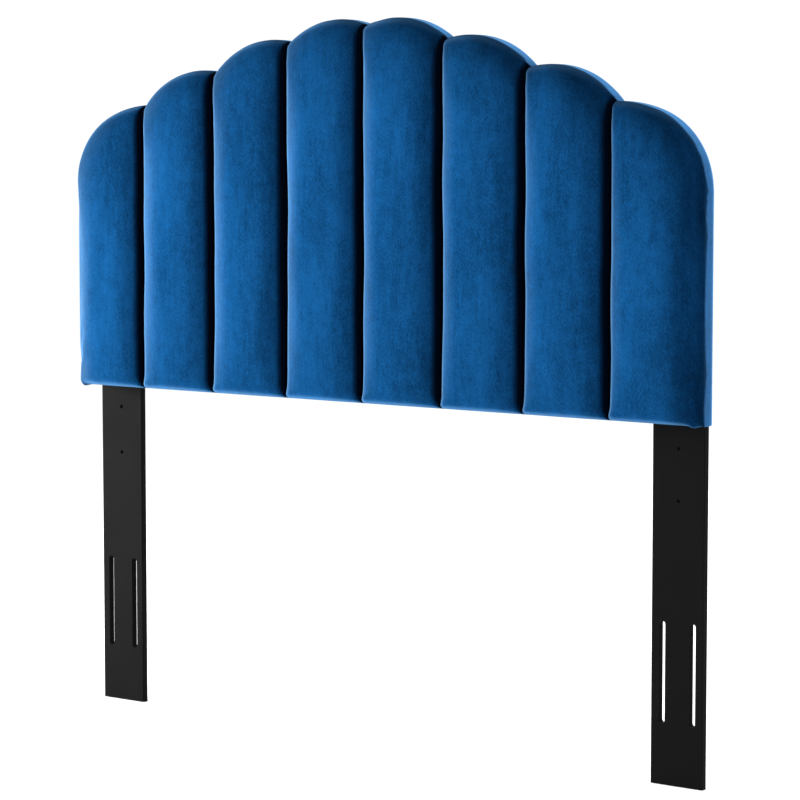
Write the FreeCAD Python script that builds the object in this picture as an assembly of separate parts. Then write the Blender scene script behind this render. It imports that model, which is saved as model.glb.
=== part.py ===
import FreeCAD, Part
import math
import os

# Upholstered headboard on two slotted legs, in millimetres.
# X runs along the headboard, Y from its padded front (-Y) to its back (+Y), Z up.
# The origin is on the floor, at the middle of the whole headboard's width and depth.

Vector = FreeCAD.Vector
UP = Vector(0, 0, 1)
FRONT = Vector(0, -1, 0)
BACK = Vector(0, 1, 0)

# Overall sizes
PANEL_WIDTH = 1422.0
PANEL_BOTTOM = 620.0
CHANNELS = 8
# height of the seams' upper ends, from the middle of the arch outwards
VALLEY_HEIGHTS = [1298.0, 1271.0, 1219.0, 1159.5]
LOBE_RADIUS = 180.0
CORNER_TOP_RADIUS = 231.0
CORNER_SIDE_RADIUS = 145.0

# Padding
CHANNEL_CROWN = 28.0
CHANNEL_SHOULDER = 9.0
CHANNEL_ROLL = 7.0
CHANNEL_INSET = 0.5
EDGE_OVERRUN = 3.0
SEAM_GAP = 8.0
VELVET = 1.5
UNDERLAY = 8.0
EDGE_FOAM = 5.0
SEAM_STRIP = 2.0
SEAM_STRIP_WIDTH = 5.0
SEAM_STRIP_END_GAP = 12.0
SOFT_GAP = 0.2

# Board and frame
FACE_BOARD = 9.0
FRAME = 18.0
STILE_WIDTH = 120.0
RAIL_WIDTH = 70.0
RIM_WIDTH = 70.0
CENTRE_STILE_WIDTH = 70.0
ARCH_BASE = 1000.0
WOOD_GAP = 0.2

# Back
TURN_IN = 30.0
DUST_COVER = 0.6
DUST_COVER_INSET = 12.0
STAPLE_CROWN = 11.0
STAPLE_WIRE = 0.8
STAPLE_DEPTH = 7.0
STAPLE_PITCH = 62.0
STAPLE_INSET = 20.0

# Legs
LEG_WIDTH = 104.0
LEG_THICKNESS = 13.0
LEG_LENGTH = 920.0
LEG_INSET = 18.0
LEG_EDGE_ROUND = 1.5
SLOT_LENGTH = 177.0
SLOT_WIDTH = 12.7
SLOT_SPACING = 60.8
SLOT_BOTTOM = 105.0
LEG_HOLE_RADIUS = 3.75
LEG_HOLE_PITCH = 88.9
LOWEST_LEG_HOLE = 488.0
LEG_HOLES = 5
BOLTED_HOLES = (2, 4)

# Fasteners
BOLT_RADIUS = 3.0
BOLT_LENGTH = 35.0
BOLT_HEAD_RADIUS = 5.25
BOLT_HEAD_HEIGHT = 3.3
HEX_KEY = 4.0
HEX_DEPTH = 2.0
WASHER_RADIUS = 9.0
WASHER_THICKNESS = 1.6
LOCK_WASHER_RADIUS = 5.6
LOCK_WASHER_THICKNESS = 1.6
LOCK_WASHER_SPLIT = 1.0
LOCK_WASHER_CUT_ANGLE = 20.0
WASHER_CLEARANCE = 0.2
THREAD_CLEARANCE = 0.05
TEE_FLANGE_RADIUS = 9.5
TEE_FLANGE = 1.5
TEE_BARREL_RADIUS = 4.2
TEE_BARREL_LENGTH = 9.0
TEE_PRONG = 6.0
TEE_PRONG_WIDTH = 2.4
TEE_PRONG_THICKNESS = 1.0
TEE_CLEARANCE = 0.15
SCREW_RADIUS = 1.75
SCREW_LENGTH = 25.0
SCREW_HEAD_RADIUS = 3.5
SCREW_CLEARANCE = 0.05
SCREWS_ALONG_RAIL = 6
SCREWS_ALONG_MID_RAIL = 2

# Places that follow from the sizes
HALF_WIDTH = PANEL_WIDTH / 2
PITCH = PANEL_WIDTH / CHANNELS
BOARD_INSET = VELVET + EDGE_FOAM
SEAM_OVERRUN = (SEAM_GAP / 2 - VELVET) / 2
BACK_STACK = VELVET + DUST_COVER + LEG_THICKNESS
HARDWARE_STACK = WASHER_THICKNESS + LOCK_WASHER_THICKNESS + BOLT_HEAD_HEIGHT
UNDERLAY_DEPTH = VELVET + SOFT_GAP + SEAM_STRIP
FRAME_DEPTH = UNDERLAY_DEPTH + UNDERLAY + FACE_BOARD
TOTAL_DEPTH = CHANNEL_CROWN + FRAME_DEPTH + FRAME + BACK_STACK + HARDWARE_STACK
CREASE_Y = CHANNEL_CROWN - TOTAL_DEPTH / 2
UNDERLAY_Y = CREASE_Y + UNDERLAY_DEPTH
BOARD_Y = UNDERLAY_Y + UNDERLAY
FRAME_Y = BOARD_Y + FACE_BOARD
FRAME_BACK_Y = FRAME_Y + FRAME
VELVET_BACK_Y = FRAME_BACK_Y + VELVET
LEG_Y = VELVET_BACK_Y + DUST_COVER
LEG_BACK_Y = LEG_Y + LEG_THICKNESS
BOARD_BOTTOM = PANEL_BOTTOM + BOARD_INSET
STILE_EDGE = HALF_WIDTH - BOARD_INSET - STILE_WIDTH
RAIL_TOP = BOARD_BOTTOM + RAIL_WIDTH
MID_RAIL_BOTTOM = ARCH_BASE - RAIL_WIDTH
LEG_CENTRE = HALF_WIDTH - LEG_INSET - LEG_WIDTH / 2
SIDES = {"left": -1, "right": 1}


def valleys():
    """Upper ends of the seams, from the left side of the arch to the right."""
    right = [(index * PITCH, height) for index, height in enumerate(VALLEY_HEIGHTS)]
    left = [(-x, height) for x, height in reversed(right[1:])]
    return left + right


def lobe_centre(start, end):
    """Centre of the arc of LOBE_RADIUS that bulges upwards from start to end."""
    run, rise = end[0] - start[0], end[1] - start[1]
    chord = math.hypot(run, rise)
    drop = math.sqrt(LOBE_RADIUS**2 - (chord / 2) ** 2)
    middle = ((start[0] + end[0]) / 2, (start[1] + end[1]) / 2)
    return middle[0] + drop * rise / chord, middle[1] - drop * run / chord


def lobe_centres():
    """Centres of the lobes between the seams' upper ends, from left to right."""
    points = valleys()
    return [lobe_centre(start, end) for start, end in zip(points, points[1:])]


def lobe_arc(start, end, centre):
    """Arc over one channel, from one seam's upper end to the next."""
    middle = Vector((start[0] + end[0]) / 2 - centre[0], 0, (start[1] + end[1]) / 2 - centre[1])
    top = Vector(centre[0], 0, centre[1]) + middle.normalize() * LOBE_RADIUS
    return Part.Arc(Vector(start[0], 0, start[1]), top, Vector(end[0], 0, end[1])).toShape()


def corner_turn():
    """Angle that a corner's upper arc turns before its side arc takes over."""
    reach = PITCH - CORNER_SIDE_RADIUS
    return math.asin(reach / (CORNER_TOP_RADIUS - CORNER_SIDE_RADIUS))


def corner_centres():
    """Centres of the right corner's upper arc and side arc, as (x, z)."""
    start_x = PITCH * (len(VALLEY_HEIGHTS) - 1)
    upper = (start_x, VALLEY_HEIGHTS[-1] - CORNER_TOP_RADIUS)
    between = CORNER_TOP_RADIUS - CORNER_SIDE_RADIUS
    turn = corner_turn()
    side = (upper[0] + between * math.sin(turn), upper[1] + between * math.cos(turn))
    return upper, side


def corner_edges(side):
    """The two arcs of one corner, from the outermost seam down to the straight side."""
    upper, lower = corner_centres()
    turn = corner_turn()
    rounds = [
        (upper, CORNER_TOP_RADIUS, 0.0, turn),
        (lower, CORNER_SIDE_RADIUS, turn, math.pi / 2),
    ]
    edges = []
    for centre, radius, first, last in rounds:
        angles = (first, (first + last) / 2, last)
        points = [
            Vector(side * (centre[0] + radius * math.sin(a)), 0, centre[1] + radius * math.cos(a))
            for a in angles
        ]
        edges.append(Part.Arc(*points).toShape())
    return edges


def panel_wire():
    """Outline of the padded panel, in the XZ plane."""
    points = valleys()
    arcs = zip(points, points[1:], lobe_centres())
    edges = [lobe_arc(start, end, centre) for start, end, centre in arcs]
    for side in SIDES.values():
        edges += corner_edges(side)
    side_top = corner_centres()[1][1]
    for side in SIDES.values():
        foot = Vector(side * HALF_WIDTH, 0, PANEL_BOTTOM)
        edges.append(Part.makeLine(foot, Vector(side * HALF_WIDTH, 0, side_top)))
    left_foot = Vector(-HALF_WIDTH, 0, PANEL_BOTTOM)
    edges.append(Part.makeLine(left_foot, Vector(HALF_WIDTH, 0, PANEL_BOTTOM)))
    return Part.Wire(Part.__sortEdges__(edges))


PANEL_WIRE = panel_wire()


def outline_wire(inset):
    """The panel's outline drawn in by inset."""
    return PANEL_WIRE.makeOffset2D(-inset) if inset else PANEL_WIRE


def panel_slab(inset, front_y, back_y):
    """Slab with the panel's outline, drawn in by inset, from front_y to back_y."""
    slab = Part.Face(outline_wire(inset)).extrude(Vector(0, back_y - front_y, 0))
    slab.translate(Vector(0, front_y, 0))
    return slab


def block(x_span, y_span, z_span):
    """Box between two values along each axis."""
    corner = Vector(x_span[0], y_span[0], z_span[0])
    sizes = [span[1] - span[0] for span in (x_span, y_span, z_span)]
    return Part.makeBox(*sizes, corner)


def rod(radius, x, z, front_y, back_y):
    """Cylinder along Y between two depths."""
    return Part.makeCylinder(radius, back_y - front_y, Vector(x, front_y, z), BACK)


def group(solids):
    """Separate solids kept together in one node."""
    return Part.makeCompound(solids)


def channel_pad(index, skin):
    """Crowned pad of one channel; skin is how much cover is laid over the foam."""
    if index < CHANNELS // 2:
        return channel_pad(CHANNELS - 1 - index, skin).mirror(Vector(0, 0, 0), Vector(1, 0, 0))
    is_corner = index == CHANNELS - 1
    cover = 0.0 if skin else VELVET + SOFT_GAP
    inset = CHANNEL_INSET + cover
    left = (index - CHANNELS / 2) * PITCH + SEAM_GAP / 2 - skin
    right = (index + 1 - CHANNELS / 2) * PITCH - (inset if is_corner else SEAM_GAP / 2 - skin)
    crown_y = CREASE_Y - CHANNEL_CROWN + cover
    shoulder_y = CREASE_Y - CHANNEL_SHOULDER - skin
    half, rise = (right - left) / 2, shoulder_y - crown_y
    radius = (half**2 + rise**2) / (2 * rise)
    first, last = left - SEAM_OVERRUN, right + (EDGE_OVERRUN if is_corner else SEAM_OVERRUN)
    middle = left + half
    first_y, last_y = (
        crown_y + radius - math.sqrt(radius**2 - (x - middle) ** 2) for x in (first, last)
    )
    arc = Part.Arc(
        Vector(first, first_y, 0), Vector(middle, crown_y, 0), Vector(last, last_y, 0)
    )
    corners = [
        Vector(last, last_y, 0),
        Vector(last, UNDERLAY_Y, 0),
        Vector(first, UNDERLAY_Y, 0),
        Vector(first, first_y, 0),
    ]
    walls = [Part.makeLine(start, end) for start, end in zip(corners, corners[1:])]
    height = max(VALLEY_HEIGHTS) + LOBE_RADIUS
    bar = Part.Face(Part.Wire([arc.toShape()] + walls)).extrude(UP * height)
    depth = (CREASE_Y - 2 * CHANNEL_CROWN, UNDERLAY_Y)
    pad = bar.common(panel_slab(inset, *depth))
    ends = [edge for edge in pad.Edges if is_front_end_edge(edge, shoulder_y)]
    pad = pad.makeFillet(CHANNEL_ROLL + skin, ends)
    return pad.common(block((left, right + EDGE_OVERRUN * is_corner), depth, (0.0, height)))


def is_front_end_edge(edge, shoulder_y):
    """True for the edges where a pad's crown meets its top and bottom ends."""
    box = edge.BoundBox
    spans_channel = box.XLength > PITCH / 2
    return spans_channel and box.YMin < shoulder_y - 1.0


def leg(side):
    """One leg board, with its two long slots and its row of bolt holes."""
    centre = side * LEG_CENTRE
    board = block(
        (centre - LEG_WIDTH / 2, centre + LEG_WIDTH / 2), (LEG_Y, LEG_BACK_Y), (0.0, LEG_LENGTH)
    )
    long_edges = [edge for edge in board.Edges if edge.BoundBox.ZLength > LEG_LENGTH / 2]
    board = board.makeFillet(LEG_EDGE_ROUND, long_edges)
    cuts = [leg_slot(centre + offset * SLOT_SPACING / 2) for offset in (-1, 1)]
    cuts += [rod(LEG_HOLE_RADIUS, centre, z, LEG_Y, LEG_BACK_Y) for z in leg_hole_heights()]
    return board.cut(group(cuts))


def leg_slot(x):
    """Long upright slot that takes a bed frame's bolt."""
    radius = SLOT_WIDTH / 2
    low, high = SLOT_BOTTOM + radius, SLOT_BOTTOM + SLOT_LENGTH - radius
    middle = block((x - radius, x + radius), (LEG_Y, LEG_BACK_Y), (low, high))
    ends = [rod(radius, x, z, LEG_Y, LEG_BACK_Y) for z in (low, high)]
    return middle.multiFuse(ends).removeSplitter()


def leg_hole_heights():
    """Heights of the holes in a leg's middle row."""
    return [LOWEST_LEG_HOLE + index * LEG_HOLE_PITCH for index in range(LEG_HOLES)]


def bolt_places(side):
    """Places of one leg's bolts, as (x, z)."""
    heights = leg_hole_heights()
    return [(side * LEG_CENTRE, heights[index]) for index in BOLTED_HOLES]


def bolt(x, z):
    """Button-head bolt with a hexagon socket, driven from the back."""
    seat_y = LEG_BACK_Y + WASHER_THICKNESS + LOCK_WASHER_THICKNESS
    top_y = seat_y + BOLT_HEAD_HEIGHT
    shank = rod(BOLT_RADIUS, x, z, seat_y - BOLT_LENGTH, seat_y)
    tip = [edge for edge in shank.Edges if edge.BoundBox.YMax < seat_y - BOLT_LENGTH + 0.1]
    shank = shank.makeChamfer(BOLT_RADIUS / 6, tip)
    head = rod(BOLT_HEAD_RADIUS, x, z, seat_y, top_y)
    rim = [edge for edge in head.Edges if edge.BoundBox.YMin > top_y - 0.1]
    head = head.makeFillet(BOLT_HEAD_HEIGHT / 2, rim)
    corner = HEX_KEY / math.sqrt(3)
    turns = [math.radians(60 * step) for step in range(7)]
    ring = [Vector(x + corner * math.cos(t), top_y, z + corner * math.sin(t)) for t in turns]
    socket = Part.Face(Part.makePolygon(ring)).extrude(FRONT * HEX_DEPTH)
    return shank.fuse(head).cut(socket).removeSplitter()


def flat_washer(x, z):
    """Flat washer against the leg's back."""
    back_y = LEG_BACK_Y + WASHER_THICKNESS
    bore = BOLT_RADIUS + WASHER_CLEARANCE
    return rod(WASHER_RADIUS, x, z, LEG_BACK_Y, back_y).cut(rod(bore, x, z, LEG_BACK_Y, back_y))


def lock_washer(x, z):
    """Split lock washer between the flat washer and the bolt's head."""
    front_y = LEG_BACK_Y + WASHER_THICKNESS
    back_y = front_y + LOCK_WASHER_THICKNESS
    bore = rod(BOLT_RADIUS + WASHER_CLEARANCE, x, z, front_y, back_y)
    ring = rod(LOCK_WASHER_RADIUS, x, z, front_y, back_y).cut(bore)
    half = LOCK_WASHER_SPLIT / 2
    past = LOCK_WASHER_THICKNESS
    gap = block((x - half, x + half), (front_y - past, back_y + past), (z, z + WASHER_RADIUS))
    middle = Vector(x, (front_y + back_y) / 2, z)
    gap.rotate(middle, UP, LOCK_WASHER_CUT_ANGLE)
    return ring.cut(gap)


def tee_nut(x, z):
    """Pronged tee nut let into the front of a stile, with its barrel towards the back."""
    flange = rod(TEE_FLANGE_RADIUS, x, z, FRAME_Y, FRAME_Y + TEE_FLANGE)
    barrel = rod(TEE_BARREL_RADIUS, x, z, FRAME_Y, FRAME_Y + TEE_BARREL_LENGTH)
    prong_end = FRAME_Y + TEE_FLANGE + TEE_PRONG
    far = TEE_FLANGE_RADIUS - TEE_PRONG_THICKNESS
    half = TEE_PRONG_WIDTH / 2
    prongs = []
    for turn in range(4):
        prong = block(
            (x + far - TEE_PRONG_THICKNESS, x + far), (FRAME_Y, prong_end), (z - half, z + half)
        )
        prong.rotate(Vector(x, 0, z), BACK, 90 * turn)
        prongs.append(prong)
    thread = rod(BOLT_RADIUS + THREAD_CLEARANCE, x, z, FRAME_Y, FRAME_Y + TEE_BARREL_LENGTH)
    return flange.multiFuse([barrel] + prongs).cut(thread).removeSplitter()


def tee_nut_seats(side):
    """Holes through a stile for its tee nuts and the bolts behind them."""
    cuts = []
    for x, z in bolt_places(side):
        flange_radius = TEE_FLANGE_RADIUS + TEE_CLEARANCE
        cuts.append(rod(flange_radius, x, z, FRAME_Y, FRAME_Y + TEE_FLANGE))
        barrel_radius = TEE_BARREL_RADIUS + TEE_CLEARANCE
        barrel_end = FRAME_Y + TEE_BARREL_LENGTH + TEE_CLEARANCE
        cuts.append(rod(barrel_radius, x, z, FRAME_Y, barrel_end))
        cuts.append(rod(LEG_HOLE_RADIUS, x, z, FRAME_Y, FRAME_BACK_Y))
    return group(cuts)


def even_places(first, last, count):
    """Values spread evenly between two ends, half a step in from each."""
    step = (last - first) / count
    return [first + step * (index + 0.5) for index in range(count)]


def screw_places():
    """Places of the screws through the face board, as (x, z)."""
    rail_z = BOARD_BOTTOM + RAIL_WIDTH / 2
    places = [(x, rail_z) for x in even_places(-STILE_EDGE, STILE_EDGE, SCREWS_ALONG_RAIL)]
    mid_z = MID_RAIL_BOTTOM + RAIL_WIDTH / 2
    stile_x = STILE_EDGE + STILE_WIDTH / 6
    centre_half = CENTRE_STILE_WIDTH / 2
    band = BOARD_INSET + RIM_WIDTH / 2
    corner = corner_centres()[1]
    reach = (CORNER_SIDE_RADIUS - band) / math.sqrt(2)
    for side in SIDES.values():
        mid_xs = even_places(centre_half, STILE_EDGE, SCREWS_ALONG_MID_RAIL)
        places += [(side * x, mid_z) for x in mid_xs]
        places += [(side * stile_x, z) for z in even_places(RAIL_TOP, MID_RAIL_BOTTOM, 2)]
        places.append((side * (corner[0] + reach), corner[1] + reach))
    places += [(x, z + LOBE_RADIUS - band) for x, z in lobe_centres()]
    places += [(0.0, z) for z in even_places(RAIL_TOP, max(VALLEY_HEIGHTS) - band, 2)]
    return places


def screw(x, z):
    """Countersunk wood screw through the face board into the frame."""
    shank = rod(SCREW_RADIUS, x, z, BOARD_Y, BOARD_Y + SCREW_LENGTH)
    rise = SCREW_HEAD_RADIUS - SCREW_RADIUS
    head = Part.makeCone(SCREW_HEAD_RADIUS, SCREW_RADIUS, rise, Vector(x, BOARD_Y, z), BACK)
    return shank.fuse(head).removeSplitter()


def screw_holes():
    """Holes that the face board's screws sit in."""
    cuts = []
    for x, z in screw_places():
        radius = SCREW_RADIUS + SCREW_CLEARANCE
        cuts.append(rod(radius, x, z, BOARD_Y, BOARD_Y + SCREW_LENGTH + SCREW_CLEARANCE))
        head_radius = SCREW_HEAD_RADIUS + SCREW_CLEARANCE
        rise = head_radius - radius
        cuts.append(Part.makeCone(head_radius, radius, rise, Vector(x, BOARD_Y, z), BACK))
    return group(cuts)


def arch_piece(x_first, x_last):
    """Scalloped rim of the frame between two places along the headboard."""
    ring = panel_slab(BOARD_INSET, FRAME_Y, FRAME_BACK_Y)
    ring = ring.cut(panel_slab(BOARD_INSET + RIM_WIDTH, FRAME_Y, FRAME_BACK_Y))
    top = max(VALLEY_HEIGHTS) + LOBE_RADIUS
    span = block(
        (x_first + WOOD_GAP / 2, x_last - WOOD_GAP / 2),
        (FRAME_Y, FRAME_BACK_Y),
        (ARCH_BASE + WOOD_GAP, top),
    )
    return ring.common(span)


def frame_members():
    """The frame's rails, stiles and arch pieces, by name."""
    depth = (FRAME_Y, FRAME_BACK_Y)
    rail_end = STILE_EDGE - WOOD_GAP
    centre_half = CENTRE_STILE_WIDTH / 2
    top = max(VALLEY_HEIGHTS)
    centre = block((-centre_half, centre_half), depth, (RAIL_TOP + WOOD_GAP, top))
    under_arch = panel_slab(BOARD_INSET + RIM_WIDTH + WOOD_GAP, FRAME_Y, FRAME_BACK_Y)
    within_edge = panel_slab(BOARD_INSET, FRAME_Y, FRAME_BACK_Y)
    members = {
        "bottom_rail": block((-rail_end, rail_end), depth, (BOARD_BOTTOM, RAIL_TOP)),
        "centre_stile": centre.common(under_arch),
    }
    for name, side in SIDES.items():
        outer = HALF_WIDTH - BOARD_INSET
        stile_span = sorted((side * STILE_EDGE, side * outer))
        rail_span = sorted((side * (centre_half + WOOD_GAP), side * rail_end))
        stile = block(stile_span, depth, (BOARD_BOTTOM, ARCH_BASE)).common(within_edge)
        members[f"{name}_stile"] = stile.cut(tee_nut_seats(side))
        members[f"{name}_mid_rail"] = block(rail_span, depth, (MID_RAIL_BOTTOM, ARCH_BASE))
        middle = 2 * PITCH
        inner_span = sorted((0.0, side * middle))
        outer_span = sorted((side * middle, side * HALF_WIDTH))
        members[f"{name}_arch_inner"] = arch_piece(*inner_span)
        members[f"{name}_arch_outer"] = arch_piece(*outer_span)
    holes = screw_holes()
    return {name: member.cut(holes) for name, member in members.items()}


def face_board():
    """Plywood face board that the padding is built on."""
    return panel_slab(BOARD_INSET, BOARD_Y, FRAME_Y).cut(screw_holes())


def foam_underlay():
    """Sheet of foam over the whole face board."""
    return panel_slab(BOARD_INSET, UNDERLAY_Y, BOARD_Y)


def edge_foam():
    """Strip of foam round the edges of the board and frame."""
    inside = panel_slab(BOARD_INSET, UNDERLAY_Y, FRAME_BACK_Y)
    return panel_slab(VELVET + SOFT_GAP, UNDERLAY_Y, FRAME_BACK_Y).cut(inside)


def seam_strip(index):
    """Stiff strip that pulls one seam of the cover back to the underlay."""
    x, top = valleys()[index]
    half = SEAM_STRIP_WIDTH / 2
    low = PANEL_BOTTOM + SEAM_STRIP_END_GAP
    high = top - SEAM_STRIP_END_GAP
    return block((x - half, x + half), (UNDERLAY_Y - SEAM_STRIP, UNDERLAY_Y), (low, high))


def velvet_cover():
    """Velvet drawn over the channels, round the edges and onto the back of the frame."""
    outer = [channel_pad(index, VELVET) for index in range(CHANNELS)]
    outer.append(panel_slab(0.0, CREASE_Y, VELVET_BACK_Y))
    inner = [channel_pad(index, 0.0) for index in range(CHANNELS)]
    inner.append(panel_slab(VELVET, CREASE_Y + VELVET, FRAME_BACK_Y))
    inner.append(panel_slab(TURN_IN, FRAME_BACK_Y, VELVET_BACK_Y))
    shell = outer[0].multiFuse(outer[1:])
    return shell.cut(inner[0].multiFuse(inner[1:]))


def dust_cover():
    """Thin black sheet over the open back of the frame."""
    sheet = panel_slab(DUST_COVER_INSET, VELVET_BACK_Y, LEG_Y)
    places = [place for side in SIDES.values() for place in bolt_places(side)]
    holes = [rod(LEG_HOLE_RADIUS, x, z, VELVET_BACK_Y, LEG_Y) for x, z in places]
    return sheet.cut(group(holes))


def staple(place, along):
    """Staple through the dust cover and the turned-in velvet into the frame."""
    half = STAPLE_CROWN / 2
    crown_y = (LEG_Y, LEG_Y + STAPLE_WIRE)
    prong_y = (LEG_Y - STAPLE_DEPTH, LEG_Y)
    wire = (-STAPLE_WIRE / 2, STAPLE_WIRE / 2)
    crown = block((-half, half), crown_y, wire)
    prongs = [
        block(span, prong_y, wire)
        for span in ((-half, -half + STAPLE_WIRE), (half - STAPLE_WIRE, half))
    ]
    solid = crown.multiFuse(prongs).removeSplitter()
    turn = math.degrees(math.atan2(-along.z, along.x))
    solid.rotate(Vector(0, 0, 0), BACK, turn)
    solid.translate(Vector(place.x, 0, place.z))
    return solid


def rear_staples():
    """Row of staples round the back, left out where a leg lies over them."""
    wire = outline_wire(STAPLE_INSET)
    count = int(wire.Length / STAPLE_PITCH)
    points = wire.discretize(Number=count * 2 + 1)
    reach = LEG_WIDTH / 2 + STAPLE_CROWN
    staples = []
    for before, place, after in zip(points[0::2], points[1::2], points[2::2]):
        beside_leg = abs(abs(place.x) - LEG_CENTRE) < reach
        under_leg = beside_leg and place.z < LEG_LENGTH + STAPLE_CROWN
        if not under_leg:
            staples.append(staple(place, after - before))
    return group(staples)


def build_parts():
    """Every node of the headboard, by name."""
    parts = {"velvet_cover": velvet_cover()}
    for index in range(CHANNELS):
        parts[f"foam_channel_{index + 1}"] = channel_pad(index, 0.0)
    for index in range(CHANNELS - 1):
        parts[f"seam_strip_{index + 1}"] = seam_strip(index)
    parts["foam_underlay"] = foam_underlay()
    parts["edge_foam"] = edge_foam()
    parts["face_board"] = face_board()
    parts["face_board_screws"] = group([screw(x, z) for x, z in screw_places()])
    parts.update(frame_members())
    parts["dust_cover"] = dust_cover()
    parts["rear_staples"] = rear_staples()
    hardware = {
        "leg_bolts": bolt,
        "flat_washers": flat_washer,
        "lock_washers": lock_washer,
        "tee_nuts": tee_nut,
    }
    for name, side in SIDES.items():
        parts[f"{name}_leg"] = leg(side)
        for fastener, make in hardware.items():
            parts[f"{name}_{fastener}"] = group([make(x, z) for x, z in bolt_places(side)])
    return parts


def main():
    os.makedirs("parts", exist_ok=True)
    for name, shape in build_parts().items():
        shape.exportStep(os.path.join("parts", f"{name}.step"))
        print(f"{name}: {len(shape.Solids)} solids, {shape.Volume / 1000:.1f} cm3, valid {shape.isValid()}")


main()
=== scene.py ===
"""Upholstered headboard: velvet drawn over eight padded channels, on two slotted black legs."""

import logging
import math
from dataclasses import dataclass, field
from enum import Enum
from functools import cache

import bpy
import numpy as np
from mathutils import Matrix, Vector
from mathutils.bvhtree import BVHTree


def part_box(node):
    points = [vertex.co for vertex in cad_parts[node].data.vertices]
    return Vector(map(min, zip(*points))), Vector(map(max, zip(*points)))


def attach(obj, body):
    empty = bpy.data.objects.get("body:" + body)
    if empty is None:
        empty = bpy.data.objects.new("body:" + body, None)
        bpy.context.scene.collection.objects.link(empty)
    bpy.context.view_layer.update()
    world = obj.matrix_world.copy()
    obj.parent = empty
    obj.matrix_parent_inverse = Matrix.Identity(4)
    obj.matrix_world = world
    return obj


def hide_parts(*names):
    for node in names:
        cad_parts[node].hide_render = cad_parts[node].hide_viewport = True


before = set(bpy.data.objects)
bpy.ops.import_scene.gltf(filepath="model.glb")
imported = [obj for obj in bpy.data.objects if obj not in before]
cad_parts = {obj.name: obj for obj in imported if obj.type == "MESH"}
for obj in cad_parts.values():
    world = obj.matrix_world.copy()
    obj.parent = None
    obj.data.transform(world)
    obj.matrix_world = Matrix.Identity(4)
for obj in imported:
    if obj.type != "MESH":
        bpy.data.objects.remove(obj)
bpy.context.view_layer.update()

LOG = logging.getLogger("headboard")
MM = 0.001
BODY = "root"
# Mesh attribute that holds the velvet's painted shade share.
PAINTED_SHADE = "painted_shade_share"
CLEAR = 1.8 * MM
Colour = tuple[float, float, float]
Axes = tuple[float, float, float]
Face = list[int]


# ---------------------------------------------------------------- shader maths


class Shade:
    """A shader socket that takes part in Python expressions."""

    def __init__(self, graph: "Graph", socket: bpy.types.NodeSocket) -> None:
        """Keeps the graph that the socket belongs to."""
        self.graph = graph
        self.socket = socket

    def _math(self, operation: str, *values: "Shade | float") -> "Shade":
        """Adds one Math node and returns its result."""
        inputs = dict(enumerate(values))
        return self.graph.node("ShaderNodeMath", {"operation": operation}, inputs)

    def __add__(self, other: "Shade | float") -> "Shade":
        """Sum."""
        return self._math("ADD", self, other)

    def __radd__(self, other: float) -> "Shade":
        """Sum, with the number first."""
        return self._math("ADD", other, self)

    def __sub__(self, other: "Shade | float") -> "Shade":
        """Difference."""
        return self._math("SUBTRACT", self, other)

    def __rsub__(self, other: float) -> "Shade":
        """Difference, with the number first."""
        return self._math("SUBTRACT", other, self)

    def __mul__(self, other: "Shade | float") -> "Shade":
        """Product."""
        return self._math("MULTIPLY", self, other)

    def __rmul__(self, other: float) -> "Shade":
        """Product, with the number first."""
        return self._math("MULTIPLY", other, self)

    def __pow__(self, other: float) -> "Shade":
        """Power."""
        return self._math("POWER", self, other)

    def clamp(self) -> "Shade":
        """The value held between 0 and 1."""
        return self._math("MINIMUM", self._math("MAXIMUM", self, 0.0), 1.0)

    def smoothstep(self, low: float, high: float) -> "Shade":
        """0 below low, 1 above high and a smooth rise between.

        Args:
            low: Value where the rise begins.
            high: Value where it ends.

        Returns:
            The mapped value.
        """
        settings = {"interpolation_type": "SMOOTHSTEP", "clamp": True}
        inputs = {"Value": self, "From Min": low, "From Max": high}
        return self.graph.node("ShaderNodeMapRange", settings, inputs)


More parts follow.
